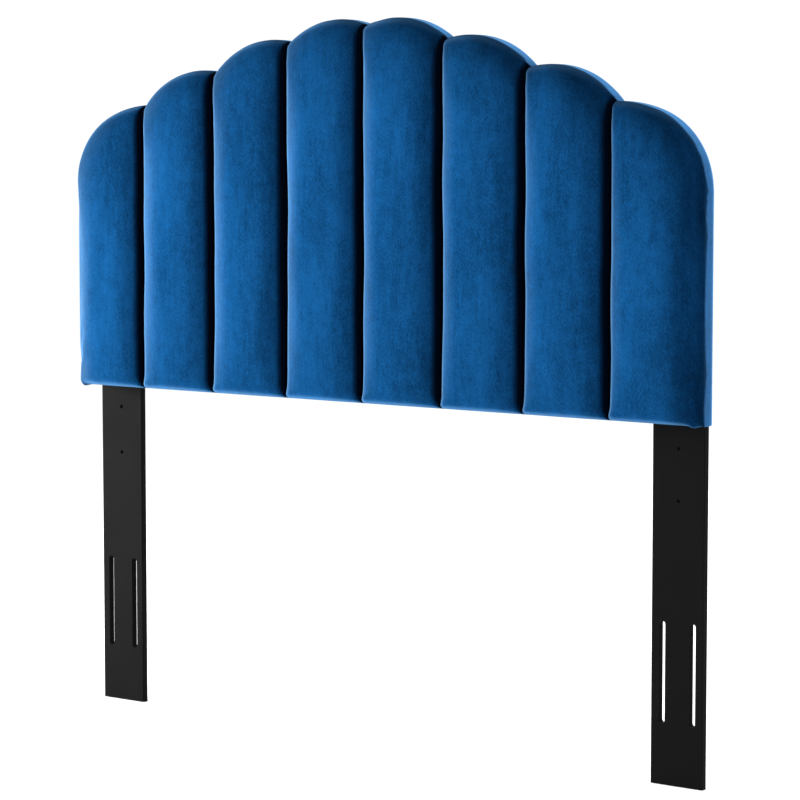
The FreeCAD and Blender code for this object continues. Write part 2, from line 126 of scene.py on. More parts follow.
class Graph:
    """The node tree of one material."""

    def __init__(self, name: str) -> None:
        """Makes an empty material with an output node."""
        self.material = bpy.data.materials.new(name)
        self.material.use_nodes = True
        self.tree = self.material.node_tree
        self.tree.nodes.clear()
        self.output = self.tree.nodes.new("ShaderNodeOutputMaterial")

    def node(
        self,
        kind: str,
        settings: dict[str, object] | None = None,
        inputs: dict[str | int, object] | None = None,
        output: str | int = 0,
    ) -> Shade:
        """Adds a node of any type.

        Args:
            kind: Blender's name for the node's type.
            settings: Properties of the node, which are set first.
            inputs: Values or links by socket name or number.
            output: Which of its outputs is wanted.

        Returns:
            The chosen output.
        """
        made = self.tree.nodes.new(kind)
        for key, value in (settings or {}).items():
            setattr(made, key, value)
        for key, value in (inputs or {}).items():
            if isinstance(value, Shade):
                self.tree.links.new(value.socket, made.inputs[key])
            else:
                made.inputs[key].default_value = value
        return Shade(self, made.outputs[output])

    def place(self) -> Shade:
        """Position on the object, in metres."""
        return self.node("ShaderNodeTexCoord", output="Object")

    def stretched(self, scale: Axes) -> Shade:
        """Position on the object with each axis scaled.

        Args:
            scale: Factor along each axis.

        Returns:
            The scaled position.
        """
        settings = {"operation": "MULTIPLY"}
        return self.node("ShaderNodeVectorMath", settings, {0: self.place(), 1: scale})

    def noise(self, place: Shade, scale: float, detail: float = 2.0, rough: float = 0.5) -> Shade:
        """Noise from 0 to 1 at a place.

        Args:
            place: Where it is read.
            scale: Features per metre.
            detail: Octaves.
            rough: Weight of the finer octaves.

        Returns:
            The noise value.
        """
        inputs = {"Vector": place, "Scale": scale, "Detail": detail, "Roughness": rough}
        return self.node("ShaderNodeTexNoise", {}, inputs)

    def mix(self, share: Shade | float, first: object, second: object) -> Shade:
        """Colour between two colours.

        Args:
            share: 0 for the first colour, 1 for the second.
            first: Colour or link.
            second: Colour or link.

        Returns:
            The mixed colour.
        """
        made = self.tree.nodes.new("ShaderNodeMix")
        made.data_type = "RGBA"
        for socket, value in ((made.inputs[0], share), (made.inputs[6], first), (made.inputs[7], second)):
            if isinstance(value, Shade):
                self.tree.links.new(value.socket, socket)
            elif isinstance(value, tuple):
                socket.default_value = (*value, 1.0)
            else:
                socket.default_value = value
        return Shade(self, made.outputs[2])

    def bump(
        self, height: Shade, depth: float, strength: float = 1.0, under: Shade | None = None
    ) -> Shade:
        """Surface normal bent by a height.

        Args:
            height: Height from 0 to 1.
            depth: Metres that a height of 1 stands up.
            strength: Share of the effect.
            under: Normal that is bent further, or None for the surface's own.

        Returns:
            The bent normal.
        """
        inputs = {"Height": height, "Distance": depth, "Strength": strength}
        if under is not None:
            inputs["Normal"] = under
        return self.node("ShaderNodeBump", {}, inputs)

    def shader(self, **inputs: object) -> Shade:
        """Adds a Principled shader.

        Args:
            inputs: Values or links by socket name, with _ for each space.

        Returns:
            The shader.
        """
        named = {}
        for key, value in inputs.items():
            is_colour = isinstance(value, tuple) and len(value) == 3 and key != "Normal"
            named[key.replace("_", " ")] = (*value, 1.0) if is_colour else value
        return self.node("ShaderNodeBsdfPrincipled", {}, named)

    def finish(self, shader: Shade) -> bpy.types.Material:
        """Ends the material with a shader and returns it."""
        self.tree.links.new(shader.socket, self.output.inputs["Surface"])
        return self.material

    def principled(self, **inputs: object) -> bpy.types.Material:
        """Ends the material with one Principled shader, given as to shader."""
        return self.finish(self.shader(**inputs))


# ---------------------------------------------------------------- finishes


@dataclass(frozen=True)
class VelvetFinish:
    """Short-pile velvet whose nap catches the light at its edges, with a painted sheen mixed into its
    colour and a painted shade mixed over it.
    """

    deep: Colour = (0.0003, 0.0045, 0.0165)
    bright: Colour = (0.0018, 0.0250, 0.0820)
    painted_shade_colour: Colour = (0.0002, 0.0010, 0.0030)
    painted_sheen: Colour = (0.190, 0.400, 0.660)
    painted_sheen_from: float = 0.27
    painted_sheen_share: float = 0.75
    painted_sheen_power: float = 1.9
    nap: Axes = (-0.26, 0.0, -0.08)
    laid_tint: Colour = (0.0046, 0.0560, 0.1610)
    stood_tint: Colour = (0.0118, 0.1300, 0.3560)
    sheen: float = 1.0
    sheen_roughness: float = 0.60
    roughness: float = 0.9
    streak_scale: Axes = (110.0, 110.0, 16.0)
    streak_depth: float = 1.1 * MM
    cloud_scale: Axes = (14.0, 14.0, 5.0)
    blotches_per_metre: float = 48.0
    tufts_per_metre: float = 430.0
    tuft_stretch: Axes = (1.0, 1.0, 0.6)
    lay_from: float = 0.30
    lay_to: float = 0.70
    pile_per_metre: float = 1500.0
    pile_depth: float = 0.3 * MM
    pile_strength: float = 0.6

    def material(self, name: str) -> bpy.types.Material:
        """Makes the velvet."""
        g = Graph(name)
        streaks = g.noise(g.stretched(self.streak_scale), 1.0, 4.0, 0.6)
        clouds = g.noise(g.stretched(self.cloud_scale), 1.0, 3.0, 0.55)
        blotches = g.noise(g.place(), self.blotches_per_metre, 3.0, 0.6)
        tufts = g.noise(g.stretched(self.tuft_stretch), self.tufts_per_metre, 2.0, 0.6)
        lay = streaks * 0.15 + clouds * 0.27 + blotches * 0.18 + tufts * 0.4
        lay = lay.smoothstep(self.lay_from, self.lay_to)
        pile = g.noise(g.place(), self.pile_per_metre, 1.0)
        facing = g.node("ShaderNodeNewGeometry", output="Normal")
        leaning = g.node("ShaderNodeVectorMath", {"operation": "ADD"}, {0: facing, 1: self.nap})
        leaning = g.node("ShaderNodeVectorMath", {"operation": "NORMALIZE"}, {0: leaning})
        brushed = g.bump(streaks * 0.5 + blotches * 0.5, self.streak_depth, under=leaning)
        normal = g.bump(pile * 0.6 + tufts * 0.4, self.pile_depth, self.pile_strength, brushed)
        # Painted sheen: a pale colour mixed into the base colour where the surface turns edge-on to the
        # view, a pale line along the channels' edges.
        rim = g.node("ShaderNodeLayerWeight", {}, {"Blend": 0.5}, "Facing")
        rim = ((rim - self.painted_sheen_from) * (1.0 / (1.0 - self.painted_sheen_from))).clamp()
        rim = rim**self.painted_sheen_power * self.painted_sheen_share
        colour = g.mix(rim, g.mix(lay, self.deep, self.bright), self.painted_sheen)
        laid, stood = (
            g.shader(
                Base_Color=colour,
                Roughness=self.roughness,
                Sheen_Weight=self.sheen,
                Sheen_Roughness=self.sheen_roughness,
                Sheen_Tint=tint,
                Specular_IOR_Level=0.0,
                Normal=normal,
            )
            for tint in (self.laid_tint, self.stood_tint)
        )
        # Painted shade: a near-black shader mixed over the velvet by the painted shade share, darkening
        # the seams, the top, the edges and the bottom.
        painted_shade = g.shader(Base_Color=self.painted_shade_colour, Roughness=1.0, Specular_IOR_Level=0.0)
        lit = g.node("ShaderNodeMixShader", {}, {0: lay, 1: laid, 2: stood})
        shade_mask = g.node("ShaderNodeAttribute", {"attribute_name": PAINTED_SHADE}, {}, "Fac")
        return g.finish(g.node("ShaderNodeMixShader", {}, {0: shade_mask.clamp(), 1: lit, 2: painted_shade}))


@dataclass(frozen=True)
class FoamFinish:
    """Open-cell foam, a little yellowed."""

    pale: Colour = (0.80, 0.76, 0.60)
    aged: Colour = (0.66, 0.58, 0.38)
    cells_per_metre: float = 900.0
    cell_depth: float = 0.5 * MM

    def material(self, name: str) -> bpy.types.Material:
        """Makes the foam."""
        g = Graph(name)
        patches = g.noise(g.place(), 9.0, 3.0).smoothstep(0.35, 0.7)
        inputs = {"Vector": g.place(), "Scale": self.cells_per_metre}
        cells = g.node("ShaderNodeTexVoronoi", {}, inputs)
        return g.principled(
            Base_Color=g.mix(patches, self.pale, self.aged),
            Roughness=0.95,
            Normal=g.bump(cells, self.cell_depth, 0.7),
        )


@dataclass(frozen=True)
class WoodFinish:
    """Bare wood with its grain along one axis."""

    pale: Colour
    dark: Colour
    stretch: Axes
    rings: float = 6.0

    def material(self, name: str) -> bpy.types.Material:
        """Makes the wood."""
        g = Graph(name)
        along = g.stretched(self.stretch)
        figure = g.noise(along, self.rings, 5.0, 0.62)
        fibres = g.noise(along, self.rings * 14.0, 2.0, 0.6)
        grain = (figure * 0.7 + fibres * 0.3).smoothstep(0.35, 0.68)
        return g.principled(
            Base_Color=g.mix(grain, self.pale, self.dark),
            Roughness=0.62 + grain * 0.2,
            Normal=g.bump(fibres, 0.3 * MM, 0.5),
        )


@dataclass(frozen=True)
class BlackPaintFinish:
    """Thin matt black paint over a board, rubbed along its edges."""

    paint: Colour = (0.0011, 0.0011, 0.0014)
    dusty: Colour = (0.0022, 0.0022, 0.0025)
    rubbed: Colour = (0.022, 0.021, 0.020)
    grain: Axes = (160.0, 160.0, 5.0)
    worn_radius: float = 1.2 * MM
    gloss: float = 0.035

    def material(self, name: str) -> bpy.types.Material:
        """Makes the paint."""
        g = Graph(name)
        cloud = g.noise(g.place(), 7.0, 4.0, 0.6).smoothstep(0.3, 0.75)
        grain = g.noise(g.stretched(self.grain), 1.0, 3.0, 0.6)
        speck = g.noise(g.place(), 900.0, 2.0)
        bevel = g.node("ShaderNodeBevel", {"samples": 4}, {"Radius": self.worn_radius})
        flat = g.node("ShaderNodeNewGeometry", output="Normal")
        inputs = {0: bevel, 1: flat}
        agree = g.node("ShaderNodeVectorMath", {"operation": "DOT_PRODUCT"}, inputs, "Value")
        edge = (1.0 - agree).smoothstep(0.02, 0.25) * speck.smoothstep(0.35, 0.6)
        colour = g.mix(edge * 0.5, g.mix(cloud, self.paint, self.dusty), self.rubbed)
        return g.principled(
            Base_Color=colour,
            Roughness=0.70 + cloud * 0.10 + edge * 0.1,
            Specular_IOR_Level=self.gloss,
            Normal=g.bump(grain * 0.6 + speck * 0.4, 0.12 * MM, 0.55),
        )


@dataclass(frozen=True)
class LiningFinish:
    """Thin non-woven sheet with a pressed dot pattern."""

    cloth: Colour = (0.016, 0.016, 0.018)
    fuzz: Colour = (0.034, 0.034, 0.036)
    dots_per_metre: float = 620.0

    def material(self, name: str) -> bpy.types.Material:
        """Makes the lining."""
        g = Graph(name)
        inputs = {"Vector": g.place(), "Scale": self.dots_per_metre, "Randomness": 0.25}
        dots = g.node("ShaderNodeTexVoronoi", {}, inputs).smoothstep(0.18, 0.42)
        fibres = g.noise(g.place(), 240.0, 4.0, 0.7)
        return g.principled(
            Base_Color=g.mix(fibres.smoothstep(0.35, 0.65), self.cloth, self.fuzz),
            Roughness=0.72 + dots * 0.15,
            Sheen_Weight=0.25,
            Sheen_Roughness=0.5,
            Normal=g.bump(dots * 0.6 + fibres * 0.4, 0.35 * MM, 0.8),
        )


@dataclass(frozen=True)
class MetalFinish:
    """Plated or blackened steel with faint handling marks."""

    colour: Colour
    stained: Colour
    metallic: float = 1.0
    roughness: float = 0.32

    def material(self, name: str) -> bpy.types.Material:
        """Makes the metal."""
        g = Graph(name)
        stain = g.noise(g.place(), 260.0, 3.0, 0.6).smoothstep(0.42, 0.7)
        scratch = g.noise(g.stretched((4000.0, 600.0, 4000.0)), 1.0, 2.0)
        return g.principled(
            Base_Color=g.mix(stain, self.colour, self.stained),
            Metallic=self.metallic,
            Roughness=self.roughness + stain * 0.15 + scratch * 0.08,
            Normal=g.bump(scratch, 0.03 * MM, 0.5),
        )


@dataclass(frozen=True)
class BoardFinish:
    """Grey-brown pressed paper board."""

    pale: Colour = (0.42, 0.33, 0.23)
    dark: Colour = (0.28, 0.21, 0.14)

    def material(self, name: str) -> bpy.types.Material:
        """Makes the board."""
        g = Graph(name)
        fibres = g.noise(g.stretched((900.0, 900.0, 90.0)), 1.0, 3.0)
        colour = g.mix(fibres.smoothstep(0.35, 0.65), self.pale, self.dark)
        return g.principled(Base_Color=colour, Roughness=0.9, Normal=g.bump(fibres, 0.1 * MM))


@dataclass(frozen=True)
class StudioFinish:
    """Plain pale floor."""

    tone: Colour = (0.985, 0.985, 0.985)

    def material(self, name: str) -> bpy.types.Material:
        """Makes the floor."""
        g = Graph(name)
        haze = g.noise(g.place(), 0.8, 2.0)
        tone = g.mix(haze, self.tone, tuple(0.99 * part for part in self.tone))
        return g.principled(Base_Color=tone, Roughness=0.8, Specular_IOR_Level=0.1)


class Finish(Enum):
    """The finishes, by material name."""

    VELVET = "blue_velvet"
    FOAM = "foam"
    STRIP = "strip_board"
    PLYWOOD = "plywood"
    PINE = "pine"
    LEG = "black_leg_paint"
    LINING = "black_lining"
    STAPLE = "staple_wire"
    ZINC = "zinc_plated_steel"
    BLACK_STEEL = "black_oxide_steel"


RECIPES = {
    Finish.VELVET: VelvetFinish(),
    Finish.FOAM: FoamFinish(),
    Finish.STRIP: BoardFinish(),
    Finish.PLYWOOD: WoodFinish((0.62, 0.47, 0.30), (0.46, 0.32, 0.18), (3.0, 30.0, 30.0)),
    Finish.PINE: WoodFinish((0.70, 0.54, 0.34), (0.52, 0.35, 0.18), (30.0, 30.0, 3.0)),
    Finish.LEG: BlackPaintFinish(),
    Finish.LINING: LiningFinish(),
    Finish.STAPLE: MetalFinish((0.62, 0.62, 0.60), (0.42, 0.40, 0.37)),
    Finish.ZINC: MetalFinish((0.60, 0.62, 0.64), (0.44, 0.44, 0.42)),
    Finish.BLACK_STEEL: MetalFinish((0.030, 0.030, 0.032), (0.055, 0.05, 0.046), 0.6, 0.42),
}


@cache
def material_of(finish: Finish) -> bpy.types.Material:
    """Makes a finish's material the first time that it is asked for."""
    return RECIPES[finish].material(finish.value)


def dress(piece: bpy.types.Object, finish: Finish) -> None:
    """Puts a finish on every slot of a piece.

    Args:
        piece: The object to dress.
        finish: Which finish it takes.
    """
    if not piece.data.materials:
        piece.data.materials.append(material_of(finish))
    for slot in piece.material_slots:
        slot.link = "OBJECT"
        slot.material = material_of(finish)


def stand_for(piece: bpy.types.Object, node: str, finish: Finish) -> None:
    """Dresses a piece and puts it in the place of a plain CAD node.

    Args:
        piece: The finished piece.
        node: The node that it replaces.
        finish: Which finish it takes.
    """
    dress(piece, finish)
    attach(piece, BODY)
    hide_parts(node)


# ---------------------------------------------------------------- shape of the panel


def smooth(values: np.ndarray | float) -> np.ndarray | float:
    """Smooth rise from 0 to 1 as the value goes from 0 to 1."""
    held = np.clip(values, 0.0, 1.0)
    return held * held * (3.0 - 2.0 * held)


def wave(values: np.ndarray, seed: np.ndarray | float) -> np.ndarray:
    """Slow uneven wave from about -1 to 1.

    Args:
        values: Places along the wave, in its own wavelengths.
        seed: Which of many waves, for all the places or for each.

    Returns:
        The wave's height at each place.
    """
    first = np.sin(values * math.tau + seed)
    second = np.sin(values * math.tau * 1.618 + seed * 2.3)
    third = np.sin(values * math.tau * 0.534 + seed * 4.1)
    return (first * 0.4 + second * 0.3 + third * 0.3) * 1.2


@dataclass
class Outline:
    """Scalloped outline of the panel, in the XZ plane."""

    half_width: float
    bottom: float
    seam_xs: list[float]
    seam_tops: list[float]
    lobe_radius: float = 180.0 * MM
    corner_top_radius: float = 231.0 * MM
    corner_side_radius: float = 145.0 * MM
    samples_per_metre: float = 700.0
    points_at_once: int = 2000
    turn: float = field(init=False)
    upper: tuple[float, float] = field(init=False)
    side: tuple[float, float] = field(init=False)
    rim: np.ndarray = field(init=False)

    def __post_init__(self) -> None:
        """Works out the corner arcs and a fine polyline for distances."""
        reach = self.half_width - self.seam_xs[-1] - self.corner_side_radius
        between = self.corner_top_radius - self.corner_side_radius
        self.turn = math.asin(reach / between)
        self.upper = (self.seam_xs[-1], self.seam_tops[-1] - self.corner_top_radius)
        side_x = self.upper[0] + between * math.sin(self.turn)
        self.side = (side_x, self.upper[1] + between * math.cos(self.turn))
        count = int(2 * self.half_width * self.samples_per_metre)
        xs = self.half_width * np.sin(np.linspace(-math.pi / 2, math.pi / 2, count))
        top = np.stack([xs, self.top(xs)], axis=1)
        heights = np.linspace(self.bottom, self.side[1], count // 4)
        sides = [np.stack([np.full_like(heights, s * self.half_width), heights], 1) for s in (-1, 1)]
        self.rim = np.concatenate([top, *sides])

    def top(self, xs: np.ndarray) -> np.ndarray:
        """Height of the outline's top.

        Args:
            xs: Places along the headboard.

        Returns:
            The height at each place.
        """
        xs = np.asarray(xs, float)
        heights = np.zeros_like(xs)
        for index in range(len(self.seam_xs) - 1):
            x0, x1 = self.seam_xs[index], self.seam_xs[index + 1]
            z0, z1 = self.seam_tops[index], self.seam_tops[index + 1]
            chord = math.hypot(x1 - x0, z1 - z0)
            drop = math.sqrt(self.lobe_radius**2 - (chord / 2) ** 2)
            cx = (x0 + x1) / 2 + drop * (z1 - z0) / chord
            cz = (z0 + z1) / 2 - drop * (x1 - x0) / chord
            inside = (xs >= x0 - 1e-9) & (xs <= x1 + 1e-9)
            heights[inside] = cz + np.sqrt(self.lobe_radius**2 - (xs[inside] - cx) ** 2)
        far = np.abs(xs)
        meet = self.upper[0] + self.corner_top_radius * math.sin(self.turn)
        for centre, radius, low, high in (
            (self.upper, self.corner_top_radius, self.seam_xs[-1], meet),
            (self.side, self.corner_side_radius, meet, self.half_width),
        ):
            inside = (far > low) & (far <= high + 1e-9)
            room = np.maximum(radius**2 - (far[inside] - centre[0]) ** 2, 0.0)
            heights[inside] = centre[1] + np.sqrt(room)
        return heights

    def depth_inside(self, xs: np.ndarray, zs: np.ndarray) -> np.ndarray:
        """Distance in from the top and side edges.

        Args:
            xs: Places along the headboard.
            zs: Heights.

        Returns:
            The distance at each point.
        """
        found = np.empty(len(xs))
        for start in range(0, len(xs), self.points_at_once):
            part = slice(start, start + self.points_at_once)
            gaps_x = xs[part, None] - self.rim[None, :, 0]
            gaps_z = zs[part, None] - self.rim[None, :, 1]
            found[part] = np.sqrt((gaps_x**2 + gaps_z**2).min(axis=1))
        return found


class Skin:
    """The velvet's surface, for keeping what lies under it inside."""

    def __init__(self, piece: bpy.types.Object) -> None:
        """Reads the surface of a piece whose faces look outwards."""
        corners = [vertex.co for vertex in piece.data.vertices]
        faces = [tuple(polygon.vertices) for polygon in piece.data.polygons]
        self.tree = BVHTree.FromPolygons(corners, faces)

    def tuck_under(self, points: np.ndarray, gap: float) -> np.ndarray:
        """Moves each point that lies outside, or nearer than a gap, to that far inside.

        Args:
            points: Points in metres, in any grid.
            gap: Least distance under the surface.

        Returns:
            The points in the same grid.
        """
        moved = points.reshape(-1, 3).copy()
        for index, point in enumerate(moved):
            place, normal, _, _ = self.tree.find_nearest(Vector(point))
            if (Vector(point) - place).dot(normal) > -gap:
                moved[index] = place - normal * gap
        return moved.reshape(points.shape)


@dataclass
class Padding:
    """How far the cover stands out from the frame at each point of the panel."""

    outline: Outline
    crease_y: float
    crown: float
    dome: float = 0.36
    fullness: float = 2.8
    flank: float = 15.0 * MM
    flank_power: float = 2.3
    rim_share: float = 0.44
    fall_top: float = 50.0 * MM
    fall_side: float = 64.0 * MM
    fall_bottom: float = 30.0 * MM
    bottom_share: float = 0.78
    side_foot_share: float = 0.62
    side_foot_fade: float = 110.0 * MM
    bridge: float = 0.28
    bridge_full: float = 2.0 * MM
    bridge_fade: float = 22.0 * MM
    foot_bridge: float = 0.55
    foot_fade: float = 26.0 * MM
    roll_top: float = 14.0 * MM
    roll_bottom: float = 11.0 * MM
    roll_power: float = 2.1
    side_back: float = 14.0 * MM
    bottom_back: float = 7.0 * MM
    side_blend: float = 60.0 * MM
    side_zone: float = 60.0 * MM
    # Painted shade: how far the seams, the top, the sides, the outer edges and the bottom are darkened,
    # each channel's right flank more than its left.
    shade_right: float = 0.80
    shade_left: float = 0.42
    shade_over: float = 0.12
    top_shade: float = 0.30
    top_shade_fade: float = 230.0 * MM
    rim_shade: float = 0.36
    rim_shade_fade: float = 62.0 * MM
    edge_shade: float = 0.45
    edge_shade_fade: float = 9.0 * MM
    foot_shade: float = 0.14
    foot_shade_fade: float = 190.0 * MM

    def edge_y(self, zs: np.ndarray) -> np.ndarray:
        """Depth at which the cover reaches the outline, by height."""
        rise = smooth((zs - self.outline.bottom) / self.side_blend)
        return self.crease_y + self.bottom_back + (self.side_back - self.bottom_back) * rise

    def across(self, shares: np.ndarray, corner: np.ndarray) -> np.ndarray:
        """Crown across a channel, 0 at a seam and 1 at its middle.

        Args:
            shares: Place across the channel, 0 and 1 at its two sides.
            corner: -1 or 1 where that side is the panel's own side, else 0.

        Returns:
            Share of the full crown.
        """
        offset = 2.0 * shares - 1.0
        pitch = self.outline.seam_xs[1] - self.outline.seam_xs[0]
        outer = (corner != 0) & (offset * corner > 0)
        dome = 1.0 - self.dome * np.abs(offset) ** self.fullness
        left = np.clip(1.0 - (1.0 - np.abs(offset)) * pitch / 2 / self.flank, 0.0, 1.0)
        side = (1.0 - left**self.flank_power) ** (1.0 / self.flank_power)
        return np.where(outer, 1.0, dome * side)

    def crest(
        self, inside: np.ndarray, above: np.ndarray, shares: np.ndarray, corner: np.ndarray
    ) -> np.ndarray:
        """Crown across a channel, with the seams bridged near the panel's edges.

        Args:
            inside: Distance in from the top and side edges.
            above: Height above the bottom edge.
            shares: Place across each point's channel.
            corner: -1 or 1 in the outermost channels, else 0.

        Returns:
            Share of the full crown.
        """
        crest = self.across(shares, corner)
        top = self.bridge * (1.0 - smooth((inside - self.bridge_full) / self.bridge_fade))
        foot = self.foot_bridge * (1.0 - smooth(above / self.foot_fade))
        return crest + (1.0 - crest) * np.maximum(top, foot)

    def front_y(
        self, xs: np.ndarray, zs: np.ndarray, shares: np.ndarray, corner: np.ndarray
    ) -> np.ndarray:
        """Depth of the cover's front.

        Args:
            xs: Places along the headboard.
            zs: Heights.
            shares: Place across each point's channel.
            corner: -1 or 1 in the outermost channels, else 0.

        Returns:
            The depth at each point.
        """
        inside = self.outline.depth_inside(xs, zs)
        above = zs - self.outline.bottom
        side = smooth((np.abs(xs) - self.outline.seam_xs[-1]) / self.side_zone)
        fall = self.fall_top + (self.fall_side - self.fall_top) * side
        near_rim = np.clip(inside / fall, 0.0, 1.0)
        low_side = 1.0 - smooth(above / self.side_foot_fade)
        rim = self.rim_share * (1.0 - side * (1.0 - self.side_foot_share) * low_side)
        swell = rim + (1.0 - rim) * (1.0 - (1.0 - near_rim) ** 2)
        near_foot = np.clip(above / self.fall_bottom, 0.0, 1.0)
        foot = self.bottom_share + (1.0 - self.bottom_share) * np.sqrt(1.0 - (1.0 - near_foot) ** 2)
        height = self.crown * self.crest(inside, above, shares, corner) * swell * foot
        top_left = np.clip(1.0 - inside / self.roll_top, 0.0, 1.0)
        foot_left = np.clip(1.0 - above / self.roll_bottom, 0.0, 1.0)
        left = np.clip((top_left**3 + foot_left**3) ** (1.0 / 3.0), 0.0, 1.0)
        roll = (1.0 - left**self.roll_power) ** (1.0 / self.roll_power)
        edge = self.edge_y(zs)
        return edge - (edge - self.crease_y + height) * roll

    def painted_shade(
        self, xs: np.ndarray, zs: np.ndarray, shares: np.ndarray, corner: np.ndarray
    ) -> np.ndarray:
        """Painted shade: full in a seam, wider on each channel's right flank than its left, and a little
        towards the top, the sides, the outer edges and the bottom.

        Args:
            xs: Places along the headboard.
            zs: Heights.
            shares: Place across each point's channel.
            corner: -1 or 1 in the outermost channels, else 0.

        Returns:
            0 for no painted shade to 1 for full painted shade, at each point.
        """
        inside = self.outline.depth_inside(xs, zs)
        above = zs - self.outline.bottom
        unshaded_share = np.ones(len(xs))
        for shade, gap, fade in (
            (self.top_shade, self.outline.top(xs) - zs, self.top_shade_fade),
            (self.rim_shade, inside, self.rim_shade_fade),
            (self.edge_shade, np.minimum(inside, above), self.edge_shade_fade),
            (self.foot_shade, above, self.foot_shade_fade),
        ):
            unshaded_share *= 1.0 - shade * (1.0 - smooth(gap / fade))
        start = np.where(shares > 0.5, self.shade_right, self.shade_left)
        seam_shade = smooth((start - self.crest(inside, above, shares, corner)) / self.shade_over)
        return 1.0 - unshaded_share * (1.0 - seam_shade)


# ---------------------------------------------------------------- meshes


def new_piece(
    name: str, points: np.ndarray, faces: list[Face], is_smooth: bool = True
) -> bpy.types.Object:
    """Makes an object from points and faces.

    Args:
        name: The piece's name.
        points: Points in metres.
        faces: Corner numbers of each face.
        is_smooth: True for smooth shading.

    Returns:
        The new object.
    """
    mesh = bpy.data.meshes.new(name)
    mesh.from_pydata([tuple(p) for p in points], [], faces)
    mesh.update()
    if is_smooth:
        mesh.shade_smooth()
    else:
        mesh.shade_flat()
    piece = bpy.data.objects.new(name, mesh)
    bpy.context.scene.collection.objects.link(piece)
    return piece


def points_of(piece: bpy.types.Object) -> np.ndarray:
    """Reads the points of a piece's mesh, one to a row."""
    points = np.empty(len(piece.data.vertices) * 3)
    piece.data.vertices.foreach_get("co", points)
    return points.reshape(-1, 3)


def move_points(piece: bpy.types.Object, points: np.ndarray) -> None:
    """Puts the points of a piece's mesh in new places."""
    piece.data.vertices.foreach_set("co", points.ravel())
    piece.data.update()


def settle(piece: bpy.types.Object) -> None:
    """Applies a piece's modifiers to its mesh."""
    depsgraph = bpy.context.evaluated_depsgraph_get()
    mesh = bpy.data.meshes.new_from_object(piece.evaluated_get(depsgraph))
    old = piece.data
    piece.modifiers.clear()
    piece.data = mesh
    bpy.data.meshes.remove(old)


def grid_faces(number: np.ndarray) -> list[Face]:
    """Faces of a grid of points.

    Args:
        number: Each point's number, by column and row.

    Returns:
        Corner numbers of each face.
    """
    corners = [number[:-1, :-1], number[1:, :-1], number[1:, 1:], number[:-1, 1:]]
    return np.stack([corner.ravel() for corner in corners], axis=1).tolist()


def grid_border(number: np.ndarray) -> np.ndarray:
    """Outermost points of a grid, in order round it.

    Args:
        number: Each point's number, by column and row.

    Returns:
        The numbers of the points along its four sides.
    """
    foot, right = number[:, 0], number[-1, 1:]
    top, left = number[:-1, -1], number[0, 1:-1]
    return np.concatenate([foot, right, top[::-1], left[::-1]])


def band_faces(near: np.ndarray, far: np.ndarray) -> list[Face]:
    """Faces between two closed lines with as many points each.

    Args:
        near: Numbers of the points along one line.
        far: Numbers of the points along the other.

    Returns:
        Corner numbers of each face.
    """
    return np.stack([near, far, np.roll(far, -1), np.roll(near, -1)], axis=1).tolist()


def closed_piece(name: str, front: np.ndarray, back: np.ndarray) -> bpy.types.Object:
    """Makes a closed solid between two grids of points.

    Args:
        name: The piece's name.
        front: Points of its front, by column and row.
        back: Points of its back, in the same order.

    Returns:
        The new object.
    """
    columns, rows = front.shape[:2]
    count = columns * rows
    number = np.arange(count).reshape(columns, rows)
    border = grid_border(number)
    faces = grid_faces(number)
    faces += [[count + corner for corner in reversed(face)] for face in faces]
    faces += band_faces(border, border + count)
    points = np.concatenate([front.reshape(-1, 3), back.reshape(-1, 3)])
    return new_piece(name, points, faces)


